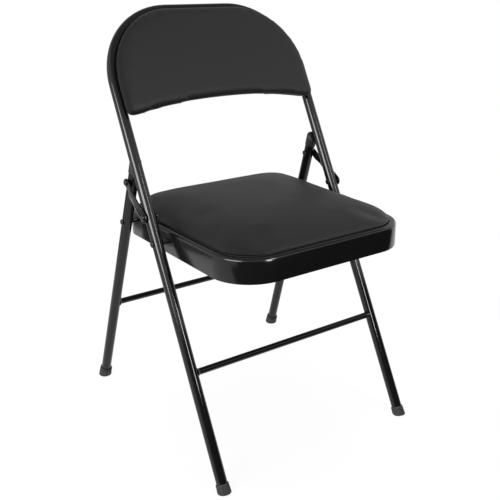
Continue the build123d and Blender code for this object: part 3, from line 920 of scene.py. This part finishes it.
def draw_back_pad():
    """The back pad before it is stuffed: wrapped round the board's edge and drawn forward over the tube."""
    pad = copy_node("back_pad", "back_cushion")
    select_places(pad, lambda place: (place - back_rest).dot(frame_front) > FACE_TOLERANCE)
    bpy.ops.mesh.delete(type="VERT")
    bpy.ops.mesh.select_all(action="SELECT")
    bpy.ops.mesh.dissolve_limited(angle_limit=radians(1.0))
    forward, share = BACK_PAD_STEPS[0]
    bpy.ops.transform.translate(value=frame_front * (forward - board_seat - BACK_BOARD))
    middle = frame_point(0, BACK_MIDDLE, forward)
    bpy.ops.transform.resize(value=(share, share, share), center_override=middle)
    for next_forward, next_share in BACK_PAD_STEPS[1:]:
        pull(frame_front * (next_forward - forward))
        step = next_share / share
        middle = frame_point(0, BACK_MIDDLE, next_forward)
        bpy.ops.transform.resize(value=(step, step, step), center_override=middle)
        forward, share = next_forward, next_share
    bpy.ops.mesh.select_all(action="SELECT")
    bpy.ops.mesh.normals_make_consistent(inside=False)
    front = frame_point(0, 0, forward)
    select_places(pad, lambda place: (place - front).dot(frame_front) > -FACE_TOLERANCE)
    bpy.ops.mesh.select_mode(type="FACE")
    round_over(BACK_PAD_ROUND, BACK_PAD_ROUND_STEPS)
    return pad


def cut_back_board():
    """The board of the back, a little smaller than the pad that is wrapped round it, with eased edges."""
    board = copy_node("back_pad_board", "back_board")
    middle = frame_point(0, BACK_MIDDLE, board_seat + BACK_BOARD / 2)
    bpy.ops.transform.resize(value=(BACK_BOARD_SHARE,) * 3, center_override=middle)
    bpy.ops.mesh.dissolve_limited(angle_limit=radians(1.0))
    bpy.ops.object.mode_set(mode="OBJECT")
    ease_edges(board, width=0.0006, segments=2, degrees=60)
    bpy.ops.object.mode_set(mode="EDIT")
    close_piece(board, "board", "front_frame", "back_board")


def within(value, low, high):
    """A value kept between two limits."""
    return max(low, min(high, value))


def seat_share(place):
    """A place on the seat pad: its shares of the half width and the half length, and its height."""
    away = place - seat_rest
    across = within(away.x / SEAT_PAD_HALF_WIDTH, -1.0, 1.0)
    along = within((away.y + SEAT_PAD_SHIFT) / SEAT_PAD_HALF_LENGTH, -1.0, 1.0)
    return across, along, away.dot(seat_up)


def raise_seat_pad(pad):
    """Lifts the middle of the seat pad, spreads its lower edge to the rim and lowers its rear."""
    for vertex in pad.data.vertices:
        across, along, height = seat_share(vertex.co)
        share = within(height / SEAT_PAD_HEIGHT, 0.0, 1.0)
        spread = SEAT_PAD_SPREAD * within(1.0 - height / SEAT_PAD_SPREAD_HEIGHT, 0.0, 1.0)
        crown = SEAT_PAD_CROWN * (1 - across**6) * (1 - along**4)
        rear = max(0.0, (along - SEAT_PAD_DROP_START) / (1 - SEAT_PAD_DROP_START))
        drop = SEAT_PAD_REAR_DROP * rear**2
        vertex.co.x += spread * across**4 * copysign(1.0, across)
        vertex.co += seat_back * spread * along**4 * copysign(1.0, along)
        vertex.co += seat_up * share * (crown - drop)


def seat_held(place):
    """Whether the seat pad is fixed to its board at a place."""
    return (place - seat_rest).dot(seat_up) < SEAT_PAD_HELD


def back_held(place):
    """Whether the back pad is fixed to its board at a place."""
    return (place - back_face).dot(frame_front) < BACK_PAD_HELD


def stuff_pad(pad, node_name, body, shape, is_held, tilt, voxel, pressure, most_move, smoothing):
    """Blows a pad up by cloth pressure, flat where it rests on its board, and covers it in vinyl."""
    bpy.ops.object.mode_set(mode="OBJECT")
    pad.data.transform(Matrix.Rotation(tilt, 4, "X"))
    apply_modifier(pad, "REMESH", "Remesh", mode="VOXEL", voxel_size=voxel)
    pad.data.transform(Matrix.Rotation(-tilt, 4, "X"))
    apply_modifier(pad, "SMOOTH", "Smooth", factor=0.5, iterations=3)
    if shape:
        shape(pad)
    start = [vertex.co.copy() for vertex in pad.data.vertices]
    held = pad.vertex_groups.new(name="held")
    held.add([index for index, place in enumerate(start) if is_held(place)], 1.0, "REPLACE")
    bpy.ops.object.modifier_add(type="CLOTH")
    cloth = pad.modifiers["Cloth"]
    cloth.settings.use_pressure = True
    cloth.settings.uniform_pressure_force = pressure
    cloth.settings.bending_stiffness = CLOTH_BENDING
    cloth.settings.vertex_group_mass = "held"
    cloth.settings.effector_weights.gravity = 0.0
    cloth.collision_settings.use_collision = False
    for step in range(1, CLOTH_STEPS + 1):
        bpy.context.scene.frame_set(step)
    bpy.ops.object.modifier_apply(modifier="Cloth")
    bpy.context.scene.frame_set(1)
    for vertex, place in zip(pad.data.vertices, start):
        move = vertex.co - place
        if move.length > most_move:
            vertex.co = place + move * (most_move / move.length)
    free = {"vertex_group": "held", "invert_vertex_group": True}
    apply_modifier(pad, "SMOOTH", "Smooth", factor=0.5, iterations=smoothing, **free)
    pad.vertex_groups.clear()
    apply_modifier(pad, "SUBSURF", "Subdivision", levels=1, render_levels=1)
    bpy.ops.object.shade_smooth()
    hand_over(pad, "black_vinyl", "black_vinyl", body, node_name)


cut_back_board()
stuff_pad(
    copy_node("seat_pad", "seat_cushion"),
    "seat_cushion",
    "seat",
    shape=raise_seat_pad,
    is_held=seat_held,
    tilt=SEAT_TILT,
    voxel=0.005,
    pressure=3.0,
    most_move=0.004,
    smoothing=26,
)
stuff_pad(
    draw_back_pad(),
    "back_cushion",
    "front_frame",
    shape=None,
    is_held=back_held,
    tilt=0.0,
    voxel=0.0045,
    pressure=1.5,
    most_move=0.0015,
    smoothing=4,
)


# Studio


def seen_rays(tree):
    """A mask that is 1 for rays from the camera, from gloss and through glass."""
    path = add_node(tree, "ShaderNodeLightPath")
    seen = math_node(tree, "MAXIMUM", path.outputs["Is Camera Ray"], path.outputs["Is Glossy Ray"])
    return math_node(tree, "MAXIMUM", seen, path.outputs["Is Transmission Ray"])


def make_floor():
    """A wide white floor that keeps a soft shadow."""
    bpy.ops.object.select_all(action="DESELECT")
    bpy.ops.mesh.primitive_plane_add(size=30.0)
    floor = bpy.context.object
    floor.name = "studio_floor"
    material = bpy.data.materials.new("floor_white")
    material.use_nodes = True
    tree = material.node_tree
    tree.nodes.clear()
    paint = add_node(tree, "ShaderNodeBsdfDiffuse", Color=(0.85, 0.85, 0.85, 1.0))
    glow = add_node(tree, "ShaderNodeEmission", Color=(1.0, 1.0, 1.0, 1.0), Strength=1.0)
    seen = seen_rays(tree)
    mix = add_node(tree, "ShaderNodeMixShader")
    place = add_node(tree, "ShaderNodeTexCoord").outputs["Object"]
    distance = add_node(tree, "ShaderNodeVectorMath", {"operation": "LENGTH"})
    tree.links.new(place, distance.inputs[0])
    fade = add_node(tree, "ShaderNodeMapRange", From_Min=0.5, From_Max=1.3, To_Min=0.93, To_Max=1.0)
    tree.links.new(distance.outputs["Value"], fade.inputs["Value"])
    tree.links.new(math_node(tree, "MULTIPLY", seen, fade.outputs["Result"]), mix.inputs["Fac"])
    tree.links.new(paint.outputs[0], mix.inputs[1])
    tree.links.new(glow.outputs[0], mix.inputs[2])
    end = add_node(tree, "ShaderNodeOutputMaterial")
    tree.links.new(mix.outputs[0], end.inputs["Surface"])
    floor.data.materials.append(material)


def make_world():
    """White where the camera or a gloss looks, a dim even light elsewhere."""
    world = bpy.data.worlds.new("studio")
    bpy.context.scene.world = world
    world.use_nodes = True
    tree = world.node_tree
    tree.nodes.clear()
    seen = seen_rays(tree)
    white = add_node(tree, "ShaderNodeBackground", Color=(1.0, 1.0, 1.0, 1.0), Strength=1.0)
    dim = add_node(tree, "ShaderNodeBackground", Color=(1.0, 1.0, 1.0, 1.0), Strength=0.5)
    mix = add_node(tree, "ShaderNodeMixShader")
    tree.links.new(seen, mix.inputs["Fac"])
    tree.links.new(dim.outputs[0], mix.inputs[1])
    tree.links.new(white.outputs[0], mix.inputs[2])
    end = add_node(tree, "ShaderNodeOutputWorld")
    tree.links.new(mix.outputs[0], end.inputs["Surface"])


def add_softbox(name, place, aim, width, height, power, in_gloss):
    """A rectangular soft light aimed at a point, which glossy surfaces may mirror or not."""
    lamp = bpy.data.lights.new(name, "AREA")
    lamp.shape = "RECTANGLE"
    lamp.size = width
    lamp.size_y = height
    lamp.energy = power
    softbox = bpy.data.objects.new(name, lamp)
    bpy.context.scene.collection.objects.link(softbox)
    softbox.location = place
    softbox.rotation_mode = "QUATERNION"
    softbox.rotation_quaternion = (Vector(aim) - Vector(place)).to_track_quat("-Z", "Y")
    softbox.visible_glossy = in_gloss
    return softbox


def spare_pads(lights):
    """Keeps low lights from glaring on the pads, as small flags beside them would."""
    spared = bpy.data.collections.new("spared_pads")
    for name in ("seat_pad", "back_pad"):
        spared.objects.link(bpy.data.objects[name])
    for row in spared.collection_objects:
        row.light_linking.link_state = "EXCLUDE"
    for light in lights:
        light.light_linking.receiver_collection = spared


def add_card(name, place, aim, width, height, glow):
    """A black, grey or glowing studio card that only reflections see."""
    bpy.ops.object.select_all(action="DESELECT")
    bpy.ops.mesh.primitive_plane_add(size=1.0)
    card = bpy.context.object
    card.name = name
    card.scale = (width, height, 1.0)
    card.location = place
    card.rotation_mode = "QUATERNION"
    card.rotation_quaternion = (Vector(aim) - Vector(place)).to_track_quat("Z", "Y")
    card.visible_camera = False
    card.visible_diffuse = False
    card.visible_shadow = False
    card.visible_transmission = False
    material, tree, shader = new_material(name)
    shader.inputs["Base Color"].default_value = (0.01, 0.01, 0.01, 1.0)
    shader.inputs["Roughness"].default_value = 1.0
    shader.inputs["Specular IOR Level"].default_value = 0.0
    shader.inputs["Emission Color"].default_value = (1.0, 1.0, 1.0, 1.0)
    shader.inputs["Emission Strength"].default_value = glow
    card.data.materials.append(material)
    return card


make_floor()
make_world()
left_softbox = add_softbox(
    "left_softbox",
    place=(-1.64, -0.43, 1.04),
    aim=(-0.1, 0.0, 0.5),
    width=1.2,
    height=0.6,
    power=32.0,
    in_gloss=True,
)
add_softbox(
    "front_softbox",
    place=(0.56, -1.55, 1.48),
    aim=(0.0, 0.0, 0.5),
    width=0.2,
    height=0.7,
    power=8.5,
    in_gloss=True,
)
add_softbox(
    "top_softbox",
    place=(0.3, 0.4, 2.2),
    aim=(0.0, 0.0, 0.4),
    width=1.4,
    height=1.4,
    power=44.0,
    in_gloss=False,
)
add_card("front_flag", place=(0.4, -0.8, 0.3), aim=(0.4, 0.0, 0.3), width=3.8, height=0.6, glow=0.0)
add_card("floor_flag", place=(0.2, -0.62, 0.005), aim=(0.2, -0.62, 1.0), width=3.4, height=0.5, glow=0.0)
add_card(
    "left_floor_flag", place=(-0.95, 1.2, 0.005), aim=(-0.95, 1.2, 1.0), width=0.9, height=0.9, glow=0.15
)
low_strip = add_card(
    "low_strip", place=(-0.02, -0.76, 0.6), aim=(-0.02, 0.0, 0.6), width=0.12, height=0.4, glow=26.0
)
spare_pads((left_softbox, low_strip))
add_card("back_card", place=(0.9, 1.5, 1.5), aim=(0.9, 0.0, 1.5), width=4.0, height=3.0, glow=0.5)
add_card("ceiling_card", place=(0.5, 0.2, 2.6), aim=(0.5, 0.2, 0.0), width=4.0, height=4.0, glow=0.25)

# Camera, matched to the photograph; its shift is in shares of the square image
CAMERA_AZIMUTH = radians(-32.88)
CAMERA_HEIGHT_ANGLE = radians(21.21)
camera_data = bpy.data.cameras.new("camera")
camera = bpy.data.objects.new("camera", camera_data)
bpy.context.scene.collection.objects.link(camera)
bpy.context.scene.camera = camera
towards_camera = Vector(
    (
        sin(CAMERA_AZIMUTH) * cos(CAMERA_HEIGHT_ANGLE),
        -cos(CAMERA_AZIMUTH) * cos(CAMERA_HEIGHT_ANGLE),
        sin(CAMERA_HEIGHT_ANGLE),
    )
)
camera.location = (-0.7125, -1.01933, 0.8214)
camera.rotation_mode = "QUATERNION"
camera.rotation_quaternion = (-towards_camera).to_track_quat("-Z", "Y")
camera_data.sensor_width = 36.0
camera_data.lens = 49.36
camera_data.shift_x = 0.045
camera_data.shift_y = -0.015

bpy.context.scene.view_settings.view_transform = "Standard"
